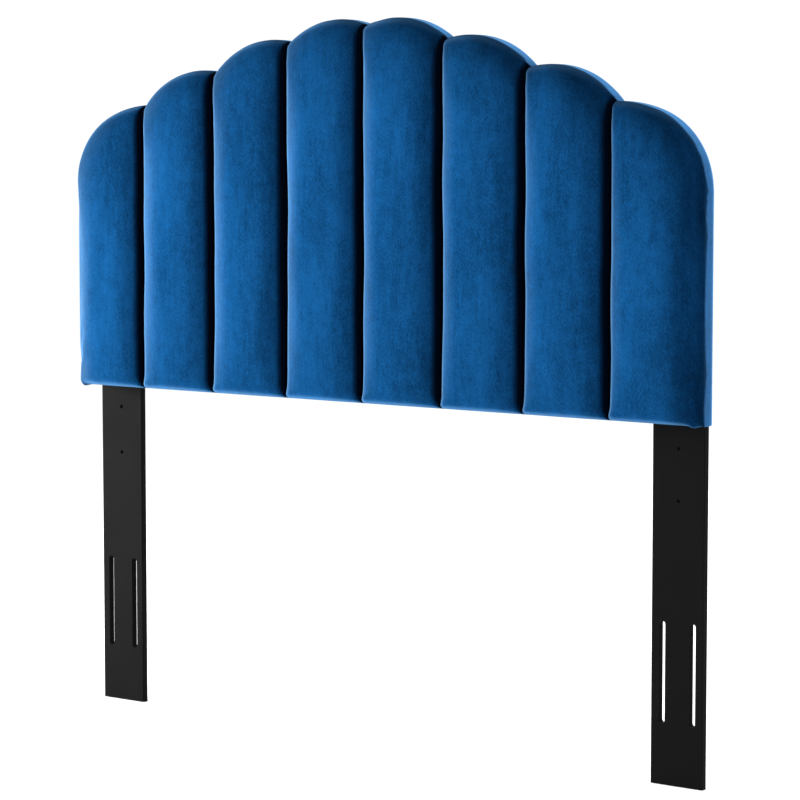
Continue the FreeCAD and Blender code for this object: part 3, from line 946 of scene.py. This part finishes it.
@dataclass
class Drawing:
    """Grid of points laid over the panel's front, by column and row."""

    outline: Outline
    flank: float
    roll: float
    flank_columns: int = 5
    crown_columns: int = 9
    corner_columns: int = 14
    foot_rows: int = 5
    middle_rows: int = 40
    top_rows: int = 9
    foot_zone: float = 24.0 * MM
    foot_crowding: float = 1.5
    top_zone: float = 52.0 * MM
    top_crowding: float = 1.6
    steepest: float = 2.5
    rows: int = field(init=False)
    xs: np.ndarray = field(init=False)
    shares: np.ndarray = field(init=False)
    corners: np.ndarray = field(init=False)
    tops: np.ndarray = field(init=False)
    is_seam: np.ndarray = field(init=False)

    def __post_init__(self) -> None:
        """Spreads the columns over the channels, closest together beside the seams."""
        edges = [-self.outline.half_width, *self.outline.seam_xs, self.outline.half_width]
        pitch = self.outline.seam_xs[1] - self.outline.seam_xs[0]
        turn = np.linspace(0.0, math.pi / 2, self.flank_columns + 1)
        flank = self.flank / pitch * (1.0 - np.cos(turn))
        crown = np.linspace(flank[-1], 1.0 - flank[-1], self.crown_columns + 1)
        inner = np.concatenate([flank[:-1], crown, 1.0 - flank[:-1][::-1]])
        bend = np.linspace(0.0, math.pi / 2, self.corner_columns + 1)
        outer = flank[-1] + (1.0 - flank[-1]) * np.sin(bend)
        rolled = 1.0 - self.roll / pitch * (1.0 - np.sin(turn))
        outer = np.concatenate([flank[:-1], outer[outer < rolled[0] - 0.01], rolled])
        xs, shares, corners, channels = [], [], [], []
        last = len(edges) - 2
        for index in range(last + 1):
            corner = -1 if index == 0 else 1 if index == last else 0
            place = 1.0 - outer[::-1] if corner < 0 else outer if corner > 0 else inner
            keep = slice(0, None) if index == last else slice(0, -1)
            xs.append((edges[index] + (edges[index + 1] - edges[index]) * place)[keep])
            shares.append(place[keep])
            corners.append(np.full(len(place[keep]), corner))
            channels.append(np.full(len(place[keep]), index))
        self.xs = np.concatenate(xs)
        self.shares = np.concatenate(shares)
        self.corners = np.concatenate(corners)
        self.tops = self.outline.top(self.xs)
        self.rows = self.foot_rows + self.middle_rows + self.top_rows + 1
        self.is_seam = (self.shares == 0.0) & (np.concatenate(channels) > 0)

    def heights(self, top: float) -> np.ndarray:
        """Heights of a column's rows, crowded towards both ends."""
        low, high = self.outline.bottom + self.foot_zone, top - self.top_zone
        foot = self.foot_zone * np.linspace(0, 1, self.foot_rows + 1) ** self.foot_crowding
        middle = np.linspace(low, high, self.middle_rows + 1)
        upper = self.top_zone * np.linspace(1, 0, self.top_rows + 1) ** self.top_crowding
        return np.concatenate([self.outline.bottom + foot[:-1], middle[:-1], top - upper])

    def points(self) -> tuple[np.ndarray, ...]:
        """Place, height, share and corner side of every point, column by column."""
        zs = np.concatenate([self.heights(top) for top in self.tops])
        repeat = [np.repeat(part, self.rows) for part in (self.xs, self.shares, self.corners)]
        return repeat[0], zs, repeat[1], repeat[2]

    def inset_grid(self, inset: float, depth: float, rows: int = 30) -> np.ndarray:
        """Points over the panel, drawn in from its outline.

        Args:
            inset: How far in from the outline.
            depth: Y of the points.
            rows: Points in each column.

        Returns:
            Points by column and row.
        """
        xs = self.xs * (1.0 - inset / self.outline.half_width)
        slope = np.gradient(self.outline.top(xs), xs)
        tops = self.outline.top(xs) - inset * np.minimum(np.sqrt(1.0 + slope**2), self.steepest)
        tops = np.maximum(tops, self.outline.side[1])
        low = self.outline.bottom + inset
        zs = low + (tops - low)[:, None] * np.linspace(0.0, 1.0, rows)
        grid_x = np.repeat(xs[:, None], rows, axis=1)
        return np.stack([grid_x, np.full_like(grid_x, depth), zs], axis=2)


@dataclass(frozen=True)
class HandWork:
    """The small unevenness of hand work, bent into the velvet's points."""

    outline: Outline
    crease_y: float
    front_depth: float = 12.0 * MM
    front_fade: float = 14.0 * MM
    wander: float = 1.3 * MM
    wander_wave: float = 0.27
    wander_reach: float = 40.0 * MM
    swell: float = 0.7 * MM
    swell_wave: float = 0.34
    swell_turn: float = 23.0
    gather: float = 0.35 * MM
    gather_wave: float = 0.041
    gather_from: float = 5.0 * MM
    gather_reach: float = 16.0 * MM
    tuck_drop: float = 8.0 * MM
    tuck_inset: float = 14.0 * MM
    tuck_width: float = 8.0 * MM
    tuck_height: float = 16.0 * MM
    tuck_ahead: float = 4.0 * MM

    def bend(self, points: np.ndarray) -> None:
        """Adds wandering seams, a slow swell and gathers beside the seams.

        Args:
            points: The velvet's points, changed in place.
        """
        front = smooth((self.crease_y + self.front_depth - points[:, 1]) / self.front_fade)
        seams = np.array(self.outline.seam_xs)
        gaps = np.abs(points[:, 0][:, None] - seams[None, :])
        nearest = gaps.argmin(axis=1)
        gap = gaps.min(axis=1)
        drift = wave(points[:, 2] / self.wander_wave, 1.7 * nearest + 0.4)
        points[:, 0] += drift * self.wander * front * np.exp(-((gap / self.wander_reach) ** 2))
        swell = wave(points[:, 2] / self.swell_wave, 0.9) * np.sin(points[:, 0] * self.swell_turn + 0.7)
        points[:, 1] += swell * self.swell * front
        near_seam = np.exp(-gap / self.gather_reach) * smooth(gap / self.gather_from)
        gathers = wave(points[:, 2] / self.gather_wave + nearest * 0.37, 0.6)
        points[:, 1] += gathers * near_seam * self.gather * front

    def tuck(self, points: np.ndarray) -> None:
        """Pulls a small folded point of cloth down at each bottom corner.

        Args:
            points: The velvet's points, changed in place.
        """
        up = (points[:, 2] - self.outline.bottom) / self.tuck_height
        along = np.abs(points[:, 1] - (self.crease_y - self.tuck_ahead)) / self.tuck_height
        for side in (-1, 1):
            corner_x = side * (self.outline.half_width - self.tuck_inset)
            across = np.abs(points[:, 0] - corner_x) / self.tuck_width
            share = np.clip(1.0 - across, 0, 1) * np.clip(1.0 - up, 0, 1) * np.clip(1.0 - along, 0, 1)
            points[:, 2] -= self.tuck_drop * share


CLOTH_SETTINGS = {
    "vertex_group_mass": "held",
    "quality": 6,
    "mass": 0.35,
    "tension_stiffness": 18.0,
    "compression_stiffness": 18.0,
    "shear_stiffness": 8.0,
    "bending_stiffness": 1.2,
    "use_pressure": True,
    "uniform_pressure_force": 2.0,
    "time_scale": 0.6,
}


@dataclass
class VelvetCover:
    """The velvet, sewn into channels and drawn round the edges to the back."""

    outline: Outline
    padding: Padding
    back_y: float
    thickness: float = 1.2 * MM
    back_round: float = 9.0 * MM
    turn_in: float = 28.0 * MM
    corner_fan: float = 70.0 * MM
    sharpest: float = 0.6
    wall_steps: int = 4
    round_steps: int = 3
    turn_steps: int = 2
    frames: int = 20
    cap: float = 5.0 * MM
    cut_spare: float = 0.12
    cut_length: float = 0.84
    fullness: float = 1.18
    rim: np.ndarray = field(init=False)
    outward: np.ndarray = field(init=False)
    skin: Skin = field(init=False)
    front_points: np.ndarray = field(init=False)
    front_normals: np.ndarray = field(init=False)

    def build(self) -> bpy.types.Object:
        """Makes, inflates and dresses the cover."""
        drawing = Drawing(self.outline, self.padding.flank, self.padding.roll_top)
        points, faces, pins = self._mesh(drawing)
        piece = new_piece("velvet_drawn_over_channels", points, faces)
        # Painted shade share for the front points, stored for the velvet material; the rings round the
        # edge get none.
        front = self.padding.painted_shade(*drawing.points())
        shade = np.zeros(len(points))
        shade[: len(front)] = front
        piece.data.attributes.new(PAINTED_SHADE, "FLOAT", "POINT").data.foreach_set("value", shade)
        self._inflate(piece, pins)
        points = points_of(piece)
        hand_work = HandWork(self.outline, self.padding.crease_y)
        hand_work.bend(points)
        hand_work.tuck(points)
        move_points(piece, points)
        self._remember(piece, drawing)
        subdivide = piece.modifiers.new("finer", "SUBSURF")
        subdivide.levels = subdivide.render_levels = 1
        settle(piece)
        self.skin = Skin(piece)
        shell = piece.modifiers.new("cloth", "SOLIDIFY")
        shell.thickness = self.thickness
        shell.offset = -1.0
        settle(piece)
        stand_for(piece, "velvet_cover", Finish.VELVET)
        return piece

    def declare(self) -> None:
        """Works out the width that the velvet was cut to; the result is not kept.
        """
        width = 2.0 * (self.outline.half_width + self.turn_in) + self.cut_spare

    def _remember(self, piece: bpy.types.Object, drawing: Drawing) -> None:
        """Keeps the points and normals of the front, by column and row."""
        normals = np.empty(len(piece.data.vertices) * 3)
        piece.data.vertex_normals.foreach_get("vector", normals)
        shape = (len(drawing.xs), drawing.rows, 3)
        count = shape[0] * shape[1]
        self.front_points = points_of(piece)[:count].reshape(shape)
        self.front_normals = normals.reshape(-1, 3)[:count].reshape(shape)

    def _mesh(self, drawing: Drawing) -> tuple[np.ndarray, list[Face], np.ndarray]:
        """Points, faces and pinned points of the cover before it is inflated."""
        xs, zs, shares, corners = drawing.points()
        ys = self.padding.front_y(xs, zs, shares, corners)
        front = np.stack([xs, ys, zs], axis=1)
        number = np.arange(len(front)).reshape(len(drawing.xs), drawing.rows)
        border = grid_border(number)
        self.rim = front[border]
        self.outward = self._outward(self.rim)
        rings = self._rings()
        faces = grid_faces(number)
        near = border
        for index in range(len(rings)):
            far = len(front) + index * len(border) + np.arange(len(border))
            faces += band_faces(near, far)
            near = far
        points = np.concatenate([front, *rings])
        pins = np.zeros(len(points), bool)
        pins[border] = True
        pins[len(front):] = True
        pins[number[drawing.is_seam].ravel()] = True
        return points, faces, pins

    def _rings(self) -> list[np.ndarray]:
        """Rings of points that carry the cover from the outline round to the back."""
        wall_end = self.back_y - self.back_round
        rings = []
        for step in range(1, self.wall_steps + 1):
            depth = self.rim[:, 1] + (wall_end - self.rim[:, 1]) * (step / self.wall_steps)
            rings.append(self._ring(0.0, depth))
        for step in range(1, self.round_steps + 1):
            angle = math.pi / 2 * step / self.round_steps
            inset = self.back_round * (1.0 - math.cos(angle))
            rings.append(self._ring(inset, wall_end + self.back_round * math.sin(angle)))
        for step in range(1, self.turn_steps + 1):
            inset = self.back_round + (self.turn_in - self.back_round) * step / self.turn_steps
            rings.append(self._ring(inset, self.back_y))
        return rings

    def _ring(self, inset: float, depth: np.ndarray | float) -> np.ndarray:
        """The rim drawn in and set at a depth."""
        ring = self.rim - self.outward * inset
        ring[:, 1] = depth
        return ring

    def _outward(self, rim: np.ndarray) -> np.ndarray:
        """Outward directions of the rim, fanned out towards the two bottom corners."""
        outward = self._normals(rim)
        side = self.outline.half_width - np.abs(rim[:, 0])
        above = rim[:, 2] - self.outline.bottom
        wide = np.clip(1.0 - side / self.corner_fan, 0.0, 1.0) * np.sign(rim[:, 0])
        low = np.clip(1.0 - above / self.corner_fan, 0.0, 1.0)
        outward[:, 0] = np.where(above < 1e-6, wide, outward[:, 0])
        outward[:, 2] = np.where(side < 1e-6, -low, outward[:, 2])
        return outward

    def _normals(self, rim: np.ndarray) -> np.ndarray:
        """Outward directions along a closed line in the XZ plane, with mitred corners."""
        flat = rim[:, [0, 2]]
        before = flat - np.roll(flat, 1, axis=0)
        after = np.roll(flat, -1, axis=0) - flat
        sides = []
        for run in (before, after):
            length = np.linalg.norm(run, axis=1, keepdims=True)
            unit = run / np.maximum(length, 1e-9)
            sides.append(np.stack([unit[:, 1], -unit[:, 0]], axis=1))
        middle = sides[0] + sides[1]
        middle /= np.maximum(np.linalg.norm(middle, axis=1, keepdims=True), 1e-9)
        reach = 1.0 / np.clip((middle * sides[0]).sum(axis=1), self.sharpest, 1.0)
        outward = middle * reach[:, None]
        return np.stack([outward[:, 0], np.zeros(len(rim)), outward[:, 1]], axis=1)

    def _inflate(self, piece: bpy.types.Object, pins: np.ndarray) -> None:
        """Swells the velvet between its pinned seams with a cloth simulation."""
        group = piece.vertex_groups.new(name="held")
        group.add([int(i) for i in np.flatnonzero(pins)], 1.0, "REPLACE")
        start = points_of(piece)
        cloth = piece.modifiers.new("swell", "CLOTH")
        for key, value in CLOTH_SETTINGS.items():
            setattr(cloth.settings, key, value)
        cloth.settings.effector_weights.gravity = 0.0
        scene = bpy.context.scene
        for number in range(1, self.frames + 1):
            scene.frame_set(number)
        settle(piece)
        move = points_of(piece) - start
        length = np.linalg.norm(move, axis=1, keepdims=True)
        move *= np.minimum(1.0, self.cap / np.maximum(length, 1e-9))
        LOG.info("velvet moved up to %.1f mm, mean %.2f mm", length.max() / MM, length.mean() / MM)
        move_points(piece, start + move)
        scene.frame_set(1)


@dataclass
class FoamFilling:
    """One channel's foam, a little inside the velvet."""

    number: int
    columns: np.ndarray
    normals: np.ndarray
    skin: Skin
    back_y: float
    foot: float
    under_cloth: float = 2.6 * MM
    thinnest: float = 1.0 * MM
    seam_gap: float = 1.0 * MM

    def build(self) -> bpy.types.Object:
        """Makes and dresses the foam of one channel."""
        front = self.columns - self.normals * self.under_cloth
        low, high = self.columns[0, 0, 0] + self.seam_gap, self.columns[-1, 0, 0] - self.seam_gap
        front = self.skin.tuck_under(front, self.under_cloth)
        front[..., 0] = np.clip(front[..., 0], low, high)
        front[..., 1] = np.minimum(front[..., 1], self.back_y - self.thinnest)
        front[..., 2] = np.maximum(front[..., 2], self.foot)
        back = front.copy()
        back[..., 1] = self.back_y
        piece = closed_piece(f"foam_filling_{self.number}", front, back)
        stand_for(piece, f"foam_channel_{self.number}", Finish.FOAM)
        return piece


@dataclass
class FoamUnderlay:
    """The thin foam sheet over the whole face board, its front edge rounded off."""

    drawing: Drawing
    skin: Skin
    front_y: float
    back_y: float
    front_inset: float = 10.0 * MM
    back_inset: float = 6.0 * MM

    def build(self) -> bpy.types.Object:
        """Makes and dresses the sheet."""
        front = self.skin.tuck_under(self.drawing.inset_grid(self.front_inset, self.front_y), CLEAR)
        back = self.skin.tuck_under(self.drawing.inset_grid(self.back_inset, self.back_y), CLEAR)
        front[..., 1], back[..., 1] = self.front_y, self.back_y
        piece = closed_piece("foam_underlay_sheet", front, back)
        stand_for(piece, "foam_underlay", Finish.FOAM)
        return piece


@dataclass
class EdgeFoam:
    """The foam band between the frame's edge and the velvet."""

    rim: np.ndarray
    outward: np.ndarray
    skin: Skin
    front_y: float
    back_y: float
    insets: tuple[float, ...] = tuple(part * MM for part in (6.3, 4.6, 3.2, 2.2, 2.2, 3.4, 6.3))
    shares: tuple[float, ...] = (0.0, 0.0, 0.2, 0.5, 0.7, 0.9, 1.0)

    def build(self) -> bpy.types.Object:
        """Makes and dresses the band."""
        depth = self.back_y - self.front_y
        rings = []
        for inset, share in zip(self.insets, self.shares):
            ring = self.rim - self.outward * inset
            ring[:, 1] = self.front_y + depth * share
            rings.append(self.skin.tuck_under(ring, CLEAR))
        numbers = np.arange(len(rings) * len(self.rim)).reshape(len(rings), len(self.rim))
        faces = []
        for near, far in zip(numbers, np.roll(numbers, -1, axis=0)):
            faces += band_faces(near, far)
        piece = new_piece("edge_foam_band", np.concatenate(rings), faces)
        stand_for(piece, "edge_foam", Finish.FOAM)
        return piece


@dataclass
class DustCover:
    """Thin lining stapled over the open back, a little slack between the frame's members."""

    drawing: Drawing
    back_y: float
    inset: float
    thickness: float = 0.45 * MM
    slack: float = 1.1 * MM
    held_width: float = 40.0 * MM
    fade: float = 90.0 * MM
    rail_height: float = 905.0 * MM
    ripple: float = 0.5 * MM
    ripple_waves: tuple[float, float] = (0.11, 0.19)
    ripple_from: float = 22.0 * MM
    ripple_rise: float = 30.0 * MM
    ripple_reach: float = 120.0 * MM
    rows: int = 72

    def build(self) -> bpy.types.Object:
        """Makes and dresses the lining."""
        back = self.drawing.inset_grid(self.inset, self.back_y, self.rows)
        flat = back.reshape(-1, 3)
        flat[:, 1] -= self._sag(flat[:, 0], flat[:, 2])
        front = back.copy()
        front[..., 1] -= self.thickness
        piece = closed_piece("dust_cover_lining", front, back)
        stand_for(piece, "dust_cover", Finish.LINING)
        return piece

    def _sag(self, xs: np.ndarray, zs: np.ndarray) -> np.ndarray:
        """How far the lining dips into the frame's openings.

        Args:
            xs: Places along the headboard.
            zs: Heights.

        Returns:
            The dip at each point, none where the lining is stapled or lies on a member.
        """
        outline = self.drawing.outline
        rim = np.minimum(outline.depth_inside(xs, zs), zs - outline.bottom)
        open_share = smooth((rim - self.held_width) / self.fade)
        open_share *= smooth((np.abs(xs) - self.held_width) / self.fade)
        open_share *= smooth((np.abs(zs - self.rail_height) - self.held_width) / self.fade)
        pulled = smooth((rim - self.ripple_from) / self.ripple_rise) * np.exp(-rim / self.ripple_reach)
        ripple = wave(xs / self.ripple_waves[0] + zs / self.ripple_waves[1], 0.8) * 0.5 + 0.5
        return open_share * self.slack + np.clip(ripple, 0.0, 1.0) * pulled * self.ripple


# ---------------------------------------------------------------- camera, lights and floor


@dataclass(frozen=True)
class SoftLight:
    """A square soft light: where it stands, where it points, its side and its power."""

    name: str
    place: Axes
    aim: Axes
    size: float
    watts: float

    def build(self) -> None:
        """Adds the light."""
        data = bpy.data.lights.new(self.name, "AREA")
        data.size = self.size
        data.energy = self.watts
        lamp = bpy.data.objects.new(self.name, data)
        bpy.context.scene.collection.objects.link(lamp)
        lamp.location = self.place
        lamp.rotation_mode = "QUATERNION"
        lamp.rotation_quaternion = (Vector(self.aim) - Vector(self.place)).to_track_quat("-Z", "Y")


LIGHTS = (
    SoftLight("key_light", (-3.9, -1.05, 0.85), (0.0, 0.0, 0.80), 1.4, 430.0),
    SoftLight("front_fill", (4.8, -3.0, 1.2), (0.0, 0.0, 0.8), 1.6, 210.0),
    SoftLight("side_fill", (4.2, 0.9, 1.2), (0.6, 0.0, 0.8), 1.2, 90.0),
    SoftLight("back_fill", (-1.0, 4.0, 3.0), (0.0, 0.0, 0.7), 3.0, 90.0),
)


@dataclass
class Studio:
    """Camera, soft lights and a plain floor."""

    azimuth: float = 37.99
    drop: float = 5.04
    distance: float = 5.3533
    lens: float = 133.48
    sensor: float = 36.0
    aim_height: float = 0.650
    aim_right: float = 0.0519
    aim_up: float = -0.0239
    floor_size: float = 400.0
    floor_points: int = 5
    surround: float = 1.04

    def build(self) -> None:
        """Sets up the view, the light and the floor."""
        self._camera()
        for light in LIGHTS:
            light.build()
        self._floor()
        self._world()

    def _camera(self) -> None:
        """Looks at the headboard from its right, a little from above."""
        turn, drop = math.radians(self.azimuth), math.radians(self.drop)
        ahead = Vector(
            (-math.sin(turn) * math.cos(drop), math.cos(turn) * math.cos(drop), -math.sin(drop))
        )
        right = Vector((math.cos(turn), math.sin(turn), 0.0))
        up = right.cross(ahead)
        data = bpy.data.cameras.new("camera")
        data.lens = self.lens
        data.sensor_width = self.sensor
        data.clip_end = 100.0
        camera = bpy.data.objects.new("camera", data)
        bpy.context.scene.collection.objects.link(camera)
        aim = Vector((0.0, 0.0, self.aim_height)) + right * self.aim_right + up * self.aim_up
        camera.location = aim - ahead * self.distance
        camera.rotation_mode = "QUATERNION"
        camera.rotation_quaternion = ahead.to_track_quat("-Z", "Y")
        bpy.context.scene.camera = camera

    def _floor(self) -> None:
        """Lays a wide pale floor under the feet."""
        line = np.linspace(-self.floor_size / 2, self.floor_size / 2, self.floor_points)
        grid_x, grid_y = np.meshgrid(line, line, indexing="ij")
        points = np.stack([grid_x, grid_y, np.zeros_like(grid_x)], axis=2).reshape(-1, 3)
        number = np.arange(len(points)).reshape(grid_x.shape)
        floor = new_piece("studio_floor", points, grid_faces(number), False)
        floor.data.materials.append(StudioFinish().material("studio_floor"))

    def _world(self) -> None:
        """Even pale light from all round."""
        world = bpy.data.worlds.new("studio")
        world.use_nodes = True
        background = world.node_tree.nodes["Background"]
        background.inputs["Color"].default_value = (1.0, 1.0, 1.0, 1.0)
        background.inputs["Strength"].default_value = self.surround
        bpy.context.scene.world = world
        bpy.context.scene.view_settings.view_transform = "Standard"


# ---------------------------------------------------------------- the whole headboard


SIDES = ("left", "right")
CAD_FINISHES = {
    Finish.VELVET: ["velvet_cover"],
    Finish.FOAM: ["foam_underlay", "edge_foam", *(f"foam_channel_{n}" for n in range(1, 9))],
    Finish.STRIP: [f"seam_strip_{n}" for n in range(1, 8)],
    Finish.PLYWOOD: ["face_board", *(f"{s}_arch_{p}" for s in SIDES for p in ("inner", "outer"))],
    Finish.PINE: [
        "bottom_rail",
        "centre_stile",
        *(f"{side}_{part}" for side in SIDES for part in ("stile", "mid_rail")),
    ],
    Finish.LEG: ["left_leg", "right_leg"],
    Finish.LINING: ["dust_cover"],
    Finish.STAPLE: ["rear_staples"],
    Finish.BLACK_STEEL: ["left_leg_bolts", "right_leg_bolts"],
}


@dataclass
class Headboard:
    """The whole headboard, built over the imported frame."""

    strip_end_gap: float = 12.0 * MM
    crown: float = 28.0 * MM
    unswollen: float = 0.92
    foam_foot: float = 6.0 * MM
    lining_inset: float = 12.0 * MM

    def outline(self) -> Outline:
        """The panel's outline, from the frame."""
        low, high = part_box("velvet_cover")
        strips = sorted(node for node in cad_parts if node.startswith("seam_strip"))
        boxes = [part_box(node) for node in strips]
        xs = [(lo.x + hi.x) / 2 for lo, hi in boxes]
        tops = [hi.z + self.strip_end_gap for _, hi in boxes]
        return Outline(high.x, low.z, xs, tops)

    def build(self) -> None:
        """Makes every soft piece and dresses every CAD node."""
        outline = self.outline()
        front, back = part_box("velvet_cover")
        padding = Padding(outline, front.y + self.crown, self.crown * self.unswollen)
        drawing = Drawing(outline, padding.flank, padding.roll_top)
        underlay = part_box("foam_underlay")
        cover = VelvetCover(outline, padding, back.y)
        velvet = cover.build()
        foams = [FoamUnderlay(drawing, cover.skin, underlay[0].y, underlay[1].y).build()]
        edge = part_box("edge_foam")
        foams.append(EdgeFoam(cover.rim, cover.outward, cover.skin, edge[0].y, edge[1].y).build())
        seams = np.flatnonzero(drawing.is_seam)
        starts, ends = [0, *seams], [*seams, len(drawing.xs) - 1]
        for number, (start, end) in enumerate(zip(starts, ends), 1):
            mine = slice(start, end + 1)
            columns, normals = cover.front_points[mine], cover.front_normals[mine]
            foot = outline.bottom + self.foam_foot
            filling = FoamFilling(number, columns, normals, cover.skin, underlay[0].y, foot)
            foams.append(filling.build())
        cover.declare()
        lining = DustCover(drawing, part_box("dust_cover")[1].y, self.lining_inset).build()
        for piece in [velvet, *foams, lining]:
            LOG.info("piece %s with %d faces", piece.name, len(piece.data.polygons))
        self._dress_frame()

    def _dress_frame(self) -> None:
        """Gives each CAD node that stays its finish."""
        names = {name: finish for finish, nodes in CAD_FINISHES.items() for name in nodes}
        for node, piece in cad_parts.items():
            finish = names.get(node, Finish.ZINC)
            dress(piece, finish)


def main() -> None:
    """Builds the headboard and its studio."""
    logging.basicConfig(level=logging.INFO, format="%(message)s")
    Headboard().build()
    Studio().build()


if __name__ == "__main__":
    main()
